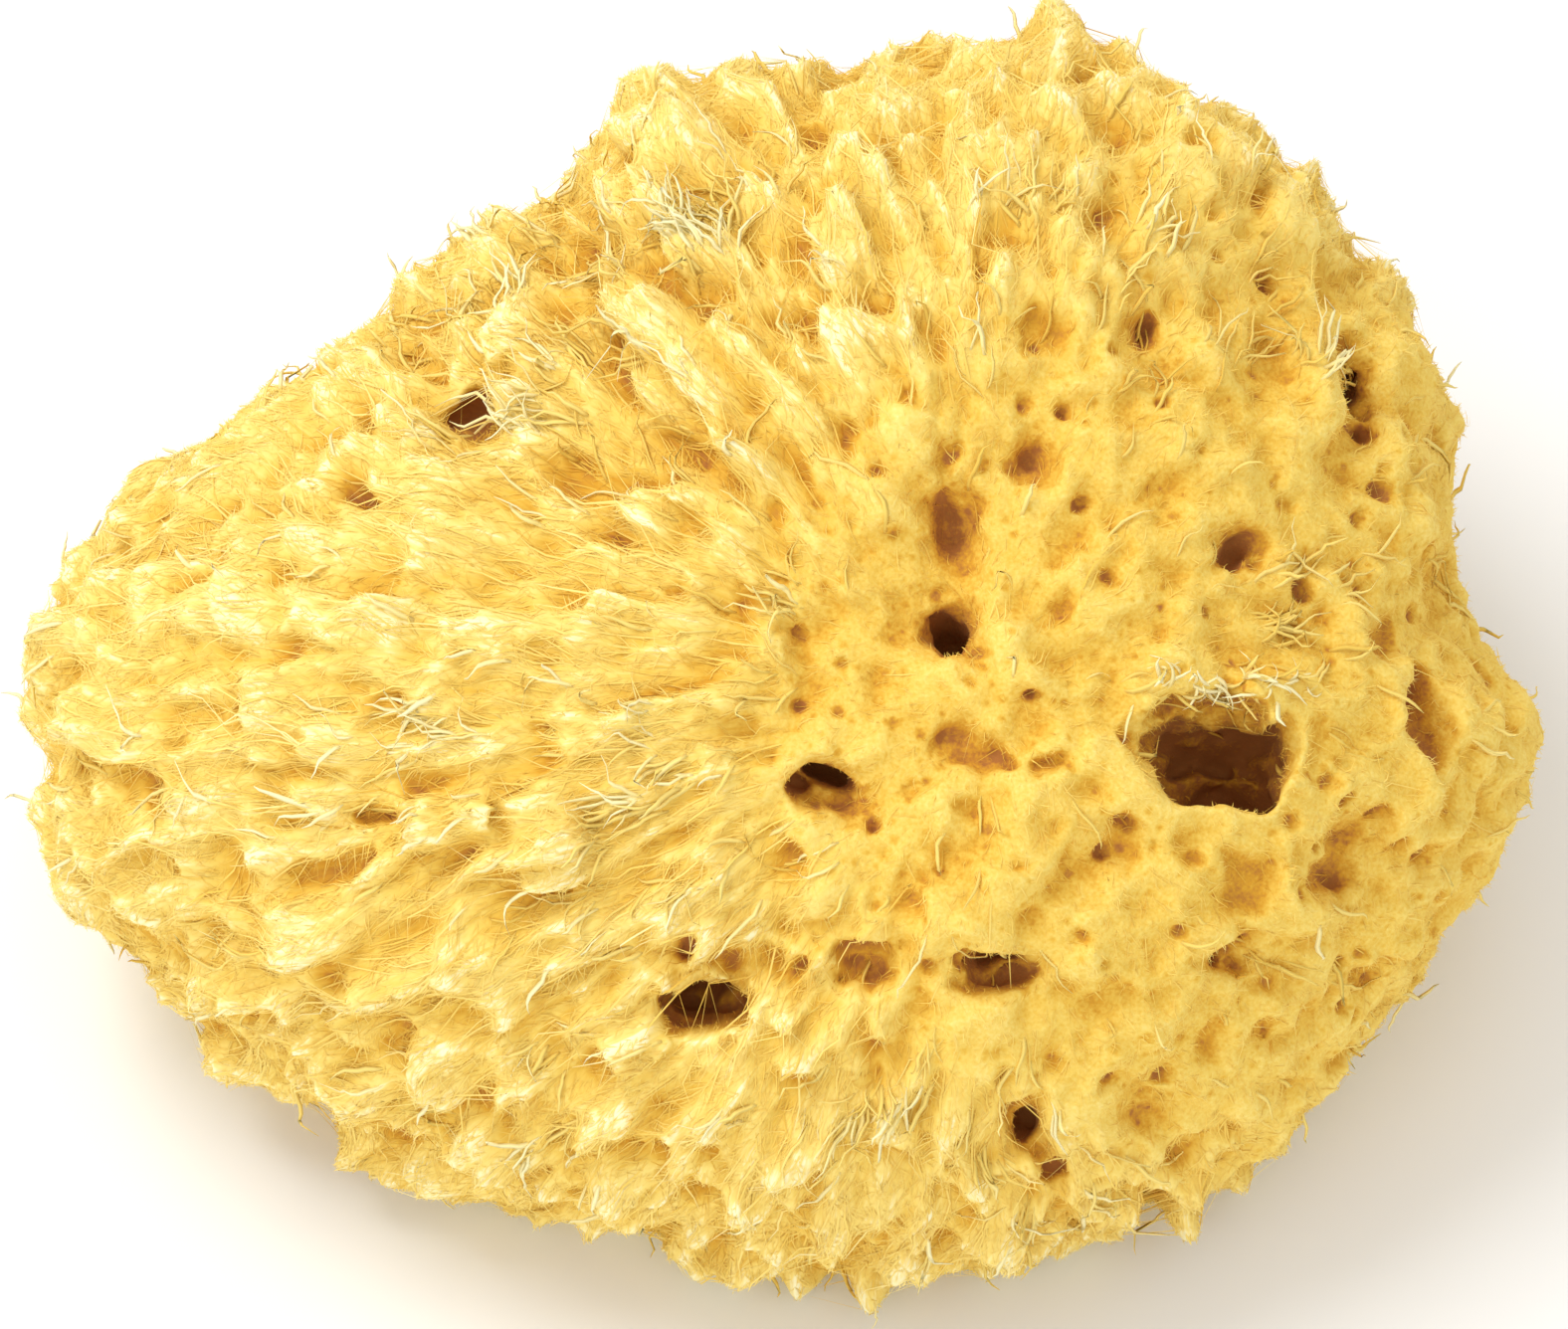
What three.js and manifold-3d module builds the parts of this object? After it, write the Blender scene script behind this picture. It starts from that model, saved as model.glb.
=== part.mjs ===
// A dry sea sponge: one grown lump, cut flat underneath, with the canals that open on its face.
// Millimetres, +Z up. The origin lies in the flat cut, under the middle of the sponge.

import * as THREE from 'three';
import { mergeVertices } from 'three/addons/utils/BufferGeometryUtils.js';
import Module from 'manifold-3d';

// Driving dimensions
const faceAngle = THREE.MathUtils.degToRad(55); // the face looks towards -Y, this far above the horizon
const middleHeight = 36; // of the lump's middle above the flat cut
const faceBulge = 44; // from the rim's plane out to the top of the face
const backBulge = 47; // from the rim's plane to the back
const faceFullness = 2.2; // 2 is a plain ellipse, more is fuller
const backFullness = 2.7;
const skinDetail = 15; // subdivisions of each icosahedron edge
const canalSides = 12;
const canalRings = 5;
const canalTaper = 0.35; // 0 is a straight tube, 1 a cone, for a canal that states none of its own
const mouthReach = 6; // how far a canal's cutter stands out of the skin
const mouthFlare = 1.1; // how much wider the cutter is there than at the mouth
const rimSteps = 720; // points read off the rim's curve
const halvings = 40; // steps of the search for the skin
const mergeGap = 1e-4; // vertices closer than this are one

const paleYellow = 0xf0cf6a;

// The face's own directions: right across it, up along it and out of it
const right = new THREE.Vector3(1, 0, 0);
const up = new THREE.Vector3(0, Math.sin(faceAngle), Math.cos(faceAngle));
const out = new THREE.Vector3(0, -Math.cos(faceAngle), Math.sin(faceAngle));
const middle = new THREE.Vector3(0, 0, middleHeight);

// The rim is the outline seen square to the face, anticlockwise from the right-hand tip, as [right, up]
const rim = [
  [75, -6], [68, 3], [67, 14], [66, 27], [59, 39], [49, 53], [38, 59], [25, 62.5], [10, 60], [-7, 59.5],
  [-16.5, 58], [-19.5, 50], [-30, 42], [-57, 23], [-69, 13], [-75, 0], [-74, -15], [-68, -26], [-42, -48],
  [-19, -57], [9, -61], [31, -58], [49, -48], [60, -35], [72, -17],
];

// Swellings and hollows of the lump: the way they lie from the middle as [right, up, out],
// how wide they spread in degrees and how far they rise in millimetres
const swellings = [
  { name: 'crown', towards: [0.25, 0.75, 0.6], spread: 20, rise: 6 },
  { name: 'left lobe', towards: [-0.75, -0.05, 0.65], spread: 24, rise: 4 },
  { name: 'valley under the crown', towards: [-0.38, 0.42, 0.8], spread: 12, rise: -5 },
  { name: 'middle furrow', towards: [0.25, 0.15, 0.95], spread: 11, rise: -4 },
  { name: 'right cheek', towards: [0.75, -0.2, 0.63], spread: 20, rise: 4 },
  { name: 'front skirt', towards: [0.05, -0.8, 0.6], spread: 20, rise: 4 },
  { name: 'fold over the skirt', towards: [0, -0.52, 0.85], spread: 8, rise: -3 },
  { name: 'back foot', towards: [0, 0.5, -0.87], spread: 30, rise: 9 },
  { name: 'back left lobe', towards: [-0.6, 0.3, -0.75], spread: 22, rise: 5 },
  { name: 'back furrow', towards: [0.1, 0.75, -0.65], spread: 12, rise: -8 },
  { name: 'back right lobe', towards: [0.7, 0.3, -0.65], spread: 20, rise: 5 },
];

// Canals: where the mouth opens on the face as [right, up], its width and height as size, its turn in
// degrees, how deep it goes and how it leans on the way in, as [right, up] for each millimetre of depth.
// The shallow dents among them state a taper of their own.
const canals = [
  { name: 'main osculum', at: [41.4, -8], size: [15, 11.8], turn: 8, depth: 21, lean: [0.12, -0.5] },
  { name: 'main osculum side', at: [48.2, -6.5], size: [6, 5], turn: 30, depth: 15, lean: [-0.2, -0.4] },
  { name: 'furrow hole', at: [16, 3.5], size: [6, 5], turn: 0, depth: 16, lean: [0, -0.2] },
  { name: 'furrow trough', at: [16.2, 13.4], size: [6.5, 12], turn: 8, depth: 5, lean: [0.1, 0], taper: 0.9 },
  { name: 'centre slot', at: [3.9, -12.4], size: [8.6, 4.2], turn: -16, depth: 14, lean: [0, 0.3] },
  { name: 'lower left cave', at: [-8.2, -33.6], size: [10, 5.4], turn: 18, depth: 16, lean: [0.1, 0.3] },
  { name: 'fold slot left', at: [8.5, -29.7], size: [9, 3.4], turn: -4, depth: 12, lean: [0, 0.4] },
  { name: 'fold slot right', at: [20, -30.2], size: [9, 4], turn: 6, depth: 12, lean: [0, 0.4] },
  { name: 'lower right hole', at: [42.9, -28.7], size: [5.4, 4.2], turn: 10, depth: 13, lean: [-0.2, 0.1] },
  { name: 'skirt hole upper', at: [23.6, -45], size: [3.6, 5.4], turn: 5, depth: 11, lean: [0, 0.2] },
  { name: 'skirt hole lower', at: [26.6, -49.2], size: [4, 4.2], turn: 0, depth: 9, lean: [0, 0.2] },
  { name: 'upper oval', at: [24.2, 19.7], size: [4.2, 6.2], turn: 30, depth: 4.5, lean: [0, 0], taper: 0.6 },
  { name: 'right flap slit', at: [56.6, 27], size: [4.6, 12], turn: -6, depth: 12, lean: [-0.4, 0] },
  { name: 'right pocket', at: [64.5, -4], size: [8.5, 16], turn: 10, depth: 7, lean: [-0.6, 0], taper: 0.7 },
  { name: 'cheek dimple', at: [57.2, -19.6], size: [11, 12], turn: 0, depth: 3.5, lean: [0, 0], taper: 0.8 },
  { name: 'shoulder hole', at: [44.8, 11], size: [5.6, 3.8], turn: 20, depth: 6, lean: [0, 0.2], taper: 0.6 },
  { name: 'left lobe cave', at: [-31, 25], size: [9.5, 8], turn: -20, depth: 7, lean: [0.3, 0.1], taper: 0.7 },
  { name: 'centre oval', at: [18.2, -7.6], size: [8.6, 4.4], turn: -16, depth: 4, lean: [0, 0.1], taper: 0.6 },
];

const wasm = await Module();
wasm.setup();

// The rim as a smooth closed curve, read by the angle around the face
const rimCurve = new THREE.CatmullRomCurve3(
  rim.map(([x, y]) => new THREE.Vector3(x, y, 0)), true, 'centripetal');
const rimPoints = rimCurve.getPoints(rimSteps).map((p) => ({
  angle: Math.atan2(p.y, p.x),
  radius: Math.hypot(p.x, p.y),
}));
rimPoints.sort((a, b) => a.angle - b.angle);

function rimRadius(angle) {
  const next = rimPoints.findIndex((p) => p.angle >= angle);
  if (next <= 0) return rimPoints[0].radius;
  const a = rimPoints[next - 1];
  const b = rimPoints[next];
  const share = (angle - a.angle) / Math.max(b.angle - a.angle, Number.EPSILON);
  return THREE.MathUtils.lerp(a.radius, b.radius, share);
}

function fromFace([x, y, z]) {
  return new THREE.Vector3().addScaledVector(right, x).addScaledVector(up, y).addScaledVector(out, z);
}

for (const swelling of swellings) swelling.direction = fromFace(swelling.towards).normalize();

// Distance from the middle to the skin along a unit direction
function skinRadius(direction) {
  const across = direction.dot(right);
  const along = direction.dot(up);
  const facing = direction.dot(out);
  const bulge = facing > 0 ? faceBulge : backBulge;
  const power = facing > 0 ? faceFullness : backFullness;
  const rimShare = Math.hypot(across, along) / rimRadius(Math.atan2(along, across));
  const bulgeShare = Math.abs(facing) / bulge;
  let radius = (rimShare ** power + bulgeShare ** power) ** (-1 / power);
  for (const { direction: top, spread, rise } of swellings) {
    const away = THREE.MathUtils.radToDeg(direction.angleTo(top)) / spread;
    radius += rise * Math.abs(facing) * Math.exp(-away * away / 2); // none at the rim, so its outline stays
  }
  return radius;
}

// Point of the skin in front of a place on the face, found by halving
function skinAt([x, y]) {
  let low = -backBulge;
  let high = 2 * faceBulge;
  for (let i = 0; i < halvings; i++) {
    const half = (low + high) / 2;
    const offset = fromFace([x, y, half]);
    if (offset.length() < skinRadius(offset.clone().normalize())) low = half;
    else high = half;
  }
  return fromFace([x, y, low]).add(middle);
}

// The whole lump, with everything under the cut pressed flat
function lumpGeometry() {
  const ball = new THREE.IcosahedronGeometry(1, skinDetail);
  ball.deleteAttribute('normal');
  ball.deleteAttribute('uv');
  const lump = mergeVertices(ball, mergeGap);
  const position = lump.getAttribute('position');
  const point = new THREE.Vector3();
  for (let i = 0; i < position.count; i++) {
    point.fromBufferAttribute(position, i).normalize();
    point.multiplyScalar(skinRadius(point)).add(middle);
    position.setXYZ(i, point.x, point.y, Math.max(point.z, 0));
  }
  return lump;
}

// A canal's cutter: rounded rings that shrink towards its blind end, leaning as they go in
function canalGeometry(canal) {
  const profile = [new THREE.Vector2(0, -canal.depth)];
  const taper = canal.taper ?? canalTaper;
  for (let i = 1; i <= canalRings; i++) {
    const share = i / canalRings;
    profile.push(new THREE.Vector2(0.5 * share ** taper, canal.depth * (share - 1)));
  }
  profile.push(new THREE.Vector2(0.5 * mouthFlare, mouthReach), new THREE.Vector2(0, mouthReach));
  const cutter = new THREE.LatheGeometry(profile, canalSides);
  const [leanRight, leanUp] = canal.lean;
  const place = new THREE.Matrix4().makeBasis(right, out, up.clone().negate());
  place.setPosition(skinAt(canal.at));
  const slant = new THREE.Matrix4().set(1, -leanRight, 0, 0, 0, 1, 0, 0, 0, leanUp, 1, 0, 0, 0, 0, 1);
  const turn = new THREE.Matrix4().makeRotationY(THREE.MathUtils.degToRad(canal.turn));
  const size = new THREE.Matrix4().makeScale(canal.size[0], 1, canal.size[1]);
  return cutter.applyMatrix4(place.multiply(slant).multiply(turn).multiply(size));
}

function solidFrom(geometry) {
  const bare = geometry.clone();
  for (const name of ['normal', 'uv']) bare.deleteAttribute(name);
  const merged = mergeVertices(bare, mergeGap);
  return new wasm.Manifold(new wasm.Mesh({
    numProp: 3,
    vertProperties: new Float32Array(merged.getAttribute('position').array),
    triVerts: new Uint32Array(merged.index.array),
  }));
}

function geometryFrom(solid) {
  const mesh = solid.getMesh();
  const geometry = new THREE.BufferGeometry();
  geometry.setAttribute('position', new THREE.BufferAttribute(mesh.vertProperties, 3));
  geometry.setIndex(new THREE.BufferAttribute(mesh.triVerts, 1));
  geometry.computeVertexNormals();
  return geometry;
}

let body = solidFrom(lumpGeometry());
for (const canal of canals) body = body.subtract(solidFrom(canalGeometry(canal)));

const material = new THREE.MeshStandardMaterial({ color: paleYellow, roughness: 0.95, metalness: 0 });
const sponge = new THREE.Mesh(geometryFrom(body), material);
sponge.name = 'sponge';

// The origin goes under the middle of the sponge
const box = new THREE.Box3().setFromBufferAttribute(sponge.geometry.getAttribute('position'));
const centre = box.getCenter(new THREE.Vector3());
sponge.position.set(-centre.x, -centre.y, 0);

const seaSponge = new THREE.Group();
seaSponge.add(sponge);

export default seaSponge;
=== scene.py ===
import math

import bpy
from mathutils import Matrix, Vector


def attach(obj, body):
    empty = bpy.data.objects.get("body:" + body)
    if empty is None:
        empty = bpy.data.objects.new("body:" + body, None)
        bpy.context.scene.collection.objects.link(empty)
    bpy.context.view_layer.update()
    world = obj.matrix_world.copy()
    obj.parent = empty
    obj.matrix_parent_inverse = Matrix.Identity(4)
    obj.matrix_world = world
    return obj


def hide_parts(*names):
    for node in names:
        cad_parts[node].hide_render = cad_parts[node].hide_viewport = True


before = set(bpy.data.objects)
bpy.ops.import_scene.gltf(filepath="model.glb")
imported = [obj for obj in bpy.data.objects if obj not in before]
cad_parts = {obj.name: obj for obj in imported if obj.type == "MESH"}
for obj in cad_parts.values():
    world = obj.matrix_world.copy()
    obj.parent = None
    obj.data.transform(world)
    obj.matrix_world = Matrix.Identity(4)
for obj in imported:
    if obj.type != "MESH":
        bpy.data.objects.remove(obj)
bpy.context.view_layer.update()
print("frame loaded:", sorted(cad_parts))

mm = 0.001

# the sponge's face, square to the camera: everything on it is placed as (right, up, out) in mm
faceView = dict(
    elevation=55,            # degrees above the horizon
    middle=(0.21, -2.3, 36), # middle of the lump, in mm from the origin
    mmPerPixel=0.0967,
    pictureSize=(1576, 1336),
    lens=200, sensor=36,     # mm
)
tilt = math.radians(faceView["elevation"])
faceRight = Vector((1, 0, 0))
faceUp = Vector((0, math.sin(tilt), math.cos(tilt)))
faceOut = Vector((0, -math.cos(tilt), math.sin(tilt)))
faceMiddle = Vector(faceView["middle"])
cameraAway = faceView["pictureSize"][0] * faceView["mmPerPixel"] * faceView["lens"] / faceView["sensor"]  # mm


def onFace(right, up, out):
    return faceMiddle + faceRight * right + faceUp * up + faceOut * out


# one socket of a node tree, so that sums of sockets read as plain arithmetic
class Wire:
    def __init__(self, net, socket):
        self.net = net
        self.socket = socket

    def __add__(self, other):
        return self.net.calc("ADD", self, other)

    def __sub__(self, other):
        return self.net.calc("SUBTRACT", self, other)

    def __rsub__(self, other):
        return self.net.calc("SUBTRACT", other, self)

    def __mul__(self, other):
        isVector = self.socket.type == "VECTOR"
        otherIsNumber = not isinstance(other, (Wire, tuple, Vector))
        if isVector and (otherIsNumber or (isinstance(other, Wire) and other.socket.type != "VECTOR")):
            return self.net.vectorScale(self, other)
        return self.net.calc("MULTIPLY", self, other)

    def __truediv__(self, other):
        return self.net.calc("DIVIDE", self, other)

    def __rtruediv__(self, other):
        return self.net.calc("DIVIDE", other, self)

    __radd__ = __add__
    __rmul__ = __mul__

    def dot(self, other):
        return self.net.calc("DOT_PRODUCT", self, other, out="Value")

    def cross(self, other):
        return self.net.calc("CROSS_PRODUCT", self, other)

    def length(self):
        return self.net.calc("LENGTH", self, out="Value")

    def unit(self):
        return self.net.calc("NORMALIZE", self)

    def clamped(self, low=0.0, high=1.0):
        return self.net.calc("MINIMUM", self.net.calc("MAXIMUM", self, low), high)

    def ramp(self, low, high, toLow=0.0, toHigh=1.0, smooth=True):
        return self.net.ramp(self, low, high, toLow, toHigh, smooth)


# adds nodes to a tree and wires them as they come
class NodeNet:
    def __init__(self, tree):
        self.tree = tree

    def plug(self, socket, value):
        if isinstance(value, Wire):
            self.tree.links.new(value.socket, socket)
        elif value is not None:
            socket.default_value = value

    def add(self, kind, inputs=(), **settings):
        node = self.tree.nodes.new(kind)
        for name, value in settings.items():
            setattr(node, name, value)
        for name, value in dict(inputs).items():
            self.plug(node.inputs[name], value)
        return node

    def wire(self, node, out=0):
        return Wire(self, node.outputs[out])

    def calc(self, operation, *values, out=None):
        def isVector(v):
            return isinstance(v, (tuple, Vector)) or (isinstance(v, Wire) and v.socket.type == "VECTOR")
        kind = "ShaderNodeVectorMath" if any(isVector(v) for v in values) else "ShaderNodeMath"
        node = self.add(kind, operation=operation)
        for socket, value in zip(node.inputs, values):
            self.plug(socket, value)
        return self.wire(node, out or 0)

    def vectorScale(self, vector, factor):
        node = self.add("ShaderNodeVectorMath", operation="SCALE")
        self.plug(node.inputs[0], vector)
        self.plug(node.inputs["Scale"], factor)
        return self.wire(node)

    def ramp(self, value, low, high, toLow, toHigh, smooth):
        kind = "SMOOTHSTEP" if smooth else "LINEAR"
        node = self.add("ShaderNodeMapRange", interpolation_type=kind)
        limits = {"Value": value, "From Min": low, "From Max": high, "To Min": toLow, "To Max": toHigh}
        for name, number in limits.items():
            self.plug(node.inputs[name], number)
        return self.wire(node)

    # features of about this size; with along, a fourth direction that the pattern changes in
    def noise(self, place, size, detail=2.0, rough=0.5, along=None, out="Fac"):
        scale = self.calc("DIVIDE", 1.0, size) if isinstance(size, Wire) else 1 / size
        node = self.add("ShaderNodeTexNoise", noise_dimensions="3D" if along is None else "4D")
        inputs = {"Vector": place, "Scale": scale, "Detail": detail, "Roughness": rough}
        if along is not None:
            inputs["W"] = along * size
        for name, value in inputs.items():
            self.plug(node.inputs[name], value)
        return self.wire(node, out)

    # the cell of a scatter of points that a place lies in
    def cell(self, place, scale=1.0, loose=1.0):
        node = self.add("ShaderNodeTexVoronoi", voronoi_dimensions="3D", feature="F1")
        for name, value in {"Vector": place, "Scale": scale, "Randomness": loose}.items():
            self.plug(node.inputs[name], value)
        return node

    def part(self, vector, axis):
        return self.wire(self.add("ShaderNodeSeparateXYZ", {"Vector": vector}), axis)

    def position(self):
        return self.wire(self.add("GeometryNodeInputPosition"))

    def mix(self, a, b, share):
        return a + (b - a) * share

    def random(self, low, high, seed):
        node = self.add("FunctionNodeRandomValue", data_type="FLOAT")
        for name, value in {"Min": low, "Max": high, "Seed": seed}.items():
            self.plug(node.inputs[name], value)
        return self.wire(node, "Value")

    def randomVector(self, seed):
        node = self.add("FunctionNodeRandomValue", data_type="FLOAT_VECTOR")
        for name, value in {"Min": (-1, -1, -1), "Max": (1, 1, 1), "Seed": seed}.items():
            self.plug(node.inputs[name], value)
        return self.wire(node, "Value")

    def attribute(self, name, dataType="FLOAT"):
        node = self.add("GeometryNodeInputNamedAttribute", data_type=dataType)
        node.inputs["Name"].default_value = name
        return self.wire(node, 0)

    def store(self, geometry, name, value, dataType="FLOAT", domain="POINT"):
        node = self.add("GeometryNodeStoreNamedAttribute", data_type=dataType, domain=domain)
        node.inputs["Name"].default_value = name
        self.plug(node.inputs["Geometry"], geometry)
        self.plug(node.inputs["Value"], value)
        return self.wire(node)


# a geometry node tree with named inputs, which come back as wires
def newTree(name, inputs):
    tree = bpy.data.node_groups.new(name, "GeometryNodeTree")
    tree.interface.new_socket("Geometry", in_out="INPUT", socket_type="NodeSocketGeometry")
    tree.interface.new_socket("Geometry", in_out="OUTPUT", socket_type="NodeSocketGeometry")
    for label, kind in inputs.items():
        tree.interface.new_socket(label, in_out="INPUT", socket_type=kind)
    net = NodeNet(tree)
    start = net.add("NodeGroupInput")
    wires = {label: net.wire(start, label) for label in ["Geometry", *inputs]}
    return net, wires


def endTree(net, geometry, material):
    real = net.add("GeometryNodeRealizeInstances", {"Geometry": geometry})
    dressed = net.add("GeometryNodeSetMaterial", {"Geometry": net.wire(real), "Material": material})
    end = net.add("NodeGroupOutput")
    net.plug(end.inputs["Geometry"], net.wire(dressed))
    return net.tree


def addModifier(obj, tree, values):
    modifier = obj.modifiers.new(tree.name, "NODES")
    modifier.node_group = tree
    sockets = {s.name: s.identifier for s in tree.interface.items_tree if s.in_out == "INPUT"}
    for label, value in values.items():
        modifier[sockets[label]] = value


# the evaluated object as a plain mesh on a new object, with nothing live on it
def settle(source, name):
    bpy.context.view_layer.update()
    evaluated = source.evaluated_get(bpy.context.evaluated_depsgraph_get())
    mesh = bpy.data.meshes.new_from_object(evaluated)
    mesh.name = name
    piece = bpy.data.objects.new(name, mesh)
    bpy.context.scene.collection.objects.link(piece)
    return piece


def countTriangles(piece):
    piece.data.calc_loop_triangles()
    return len(piece.data.loop_triangles)


# the growth of the sponge: fibres run over the face away from here, and the felted skin lies to the right
growth = dict(
    centre=onFace(20, -3, 8),
    skinTowards=(faceRight * 0.78 - faceUp * 0.08 + faceOut * 0.62).normalized(),
    skinReach=(0.83, 0.52),  # cosines of the angles where the felted skin is whole and where it ends
    span=55.0,               # mm from the centre at which widths are true
    wanderSize=20.0, wander=8.0,
    step=0.6,                # mm between the places that the fibres' way is measured at
    raggedSize=14.0, raggedBorder=0.35, raggedReach=16.0,
    bareReach=(13.0, 32.0),  # mm from the centre where the fleece begins and where it is full
    behind=(-14.0, -2.0), patchSize=22.0, patches=(0.46, 0.58),
)


# a place measured along the growth: the way around the face, mm down the flow, reach in mm and the flow
def alongGrowth(net, place):
    away = place - growth["centre"]
    outPart = away.dot(faceOut)
    sideways = away - outPart * faceOut
    reach = sideways.length()
    around = sideways.unit()
    along = net.calc("ARCTAN2", reach, outPart) * growth["span"]
    flow = (around * outPart - reach * faceOut).unit()
    return around, along, reach, flow


# places that lie on one fibre share one of these, whatever their along
def combedPlace(net, place, around):
    wander = net.noise(place, growth["wanderSize"], 1.5, 0.5, out="Color") - (0.5, 0.5, 0.5)
    return around * growth["span"] + wander * growth["wander"]


# the way that the fibres lie on the surface at a place: square to where the combed place changes
def combedWay(net, place, around, flow, normal):
    step = growth["step"]
    sideways = around.cross(faceOut)
    here = combedPlace(net, place, around).dot(sideways)
    slopes = []
    for axis in [(step, 0.0, 0.0), (0.0, step, 0.0), (0.0, 0.0, step)]:
        moved = place + axis
        slopes.append(combedPlace(net, moved, alongGrowth(net, moved)[0]).dot(sideways) - here)
    slope = net.add("ShaderNodeCombineXYZ")
    for socket, value in zip(slope.inputs, slopes):
        net.plug(socket, value)
    way = normal.cross(net.wire(slope)).unit()
    return way * (net.calc("SIGN", way.dot(flow)))


# 1 on the combed fleece, 0 on the felted skin, with a ragged border, and in patches at the back
def fleeceShare(net, place):
    away = (place - faceMiddle).unit()
    ragged = net.noise(place, growth["raggedSize"], 2.0, 0.6) - 0.5
    towards = away.dot(growth["skinTowards"]) + ragged * growth["raggedBorder"]
    whole, ends = growth["skinReach"]
    reach = alongGrowth(net, place)[2] + ragged * growth["raggedReach"]
    behind = (place - faceMiddle).dot(faceOut).ramp(*growth["behind"], 1.0, 0.0)
    patches = net.noise(place + (0.0, 0.0, 50.0), growth["patchSize"], 2.0, 0.5).ramp(*growth["patches"])
    fleece = towards.ramp(ends, whole, 1.0, 0.0) * reach.ramp(*growth["bareReach"])
    return fleece * (1.0 - patches * behind)


# stores how many of the rays over each place are stopped by the mesh, near ones counting most, and how many
# go further than a few mm first, as they do in a wide canal
def storeBlocked(net, mesh, rays, reach):
    position = net.position()
    normal = net.wire(net.add("GeometryNodeInputNormal"))
    first = net.add("GeometryNodeRepeatInput")
    last = net.add("GeometryNodeRepeatOutput")
    first.pair_with_output(last)
    net.plug(first.inputs["Iterations"], rays)
    net.plug(first.inputs["Geometry"], mesh)
    turn = net.wire(first, "Iteration")
    direction = (normal * 1.02 + net.randomVector(turn).unit()).unit()
    ray = net.add("GeometryNodeRaycast", {"Target Geometry": mesh})
    net.plug(ray.inputs["Source Position"], position + normal * (0.3 * mm))
    net.plug(ray.inputs["Ray Direction"], direction)
    net.plug(ray.inputs["Ray Length"], reach * mm)
    hit = net.wire(ray, "Is Hit")
    far = net.wire(ray, "Hit Distance")
    share = hit * (1.0 - far / (reach * mm) * 0.6)
    stored = net.store(net.wire(first, "Geometry"), "blocked", net.attribute("blocked") + share)
    stored = net.store(stored, "wide", net.attribute("wide") + hit * far.ramp(3.0 * mm, 6.0 * mm))
    net.plug(last.inputs["Geometry"], stored)
    return net.wire(last, "Geometry")


# pores in clusters over the skin, from 0 to 1 where a pore is deepest
poreSizes = dict(spacing=2.5, radius=0.62, rarity=0.34)
finePores = dict(spacing=1.5, radius=0.38, rarity=0.32)


def poreShare(net, where, sizes, cluster):
    cell = net.cell(where, 1 / sizes["spacing"])
    distance = net.wire(cell, "Distance") * sizes["spacing"]
    parts = net.add("ShaderNodeSeparateXYZ", {"Vector": net.wire(cell, "Color")})
    present = net.calc("GREATER_THAN", net.wire(parts, "X") + cluster * 2.0, sizes["rarity"])
    own = (net.wire(parts, "Y") * 0.8 + 0.5) * sizes["radius"]
    return (own - distance).ramp(-0.2, 0.4) * present


def skinPores(net, place, cluster):
    return poreShare(net, (place - faceMiddle).unit() * 50.0, poreSizes, cluster)


# colours, from the deepest hole to the fibre tips that catch the light: the dark brown low stops are painted
# shade for holes and recesses, the middle stops the sponge's own yellow, the pale top stops the cream of the
# fibres together with painted highlight
toneStops = [
    (0.00, (0.420, 0.170, 0.045)),
    (0.15, (0.550, 0.250, 0.040)),
    (0.32, (0.685, 0.355, 0.035)),
    (0.52, (0.800, 0.505, 0.076)),
    (0.72, (0.880, 0.630, 0.138)),
    (0.88, (0.940, 0.730, 0.220)),
    (1.00, (0.990, 0.920, 0.560)),
]


def makeToneGroup():
    group = bpy.data.node_groups.new("spongeTone", "ShaderNodeTree")
    group.interface.new_socket("Openness", in_out="INPUT", socket_type="NodeSocketFloat")
    group.interface.new_socket("Colour", in_out="OUTPUT", socket_type="NodeSocketColor")
    net = NodeNet(group)
    start = net.add("NodeGroupInput")
    ramp = net.add("ShaderNodeValToRGB", {"Fac": net.wire(start, "Openness")})
    stops = ramp.color_ramp.elements
    while len(stops) < len(toneStops):
        stops.new(0.5)
    for stop, (place, colour) in zip(stops, toneStops):
        stop.position = place
        stop.color = (*colour, 1)
    end = net.add("NodeGroupOutput")
    net.plug(end.inputs["Colour"], net.wire(ramp))
    return group


toneGroup = makeToneGroup()


def newMaterial(name, roughness, sheen):
    material = bpy.data.materials.new(name)
    material.use_nodes = True
    shader = material.node_tree.nodes["Principled BSDF"]
    shader.inputs["Roughness"].default_value = roughness
    shader.inputs["Specular IOR Level"].default_value = 0.08
    shader.inputs["Sheen Weight"].default_value = sheen
    shader.inputs["Sheen Roughness"].default_value = 0.5
    shader.inputs["Sheen Tint"].default_value = (1.0, 0.85, 0.45, 1)
    return material, NodeNet(material.node_tree), shader


def toneColour(net, openness):
    node = net.add("ShaderNodeGroup")
    node.node_tree = toneGroup
    net.plug(node.inputs["Openness"], openness)
    return net.wire(node)


# the felted skin and the combed fleece under the loose fibres
feltLook = dict(
    mottleSize=7.0, mottle=0.20, grainSize=0.40, grain=0.24,
    fineWidth=0.36, fineLength=6.0, fine=0.16, streakWidth=1.2, streakLength=14.0, streak=0.18,
    bump=0.7, bumpDepth=0.12,
    # the open, crest and cavern shares paint shade into the tone where places are closed, in furrows and down
    # wide canals, and a highlight onto crests
    base=0.012, open=0.60, crest=0.15, crestOnFleece=0.08, fleece=0.16, cavernShade=0.18,  # shares of the tone
    pore=0.30, finePore=0.28, poreOnFleece=0.15,
)


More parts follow.
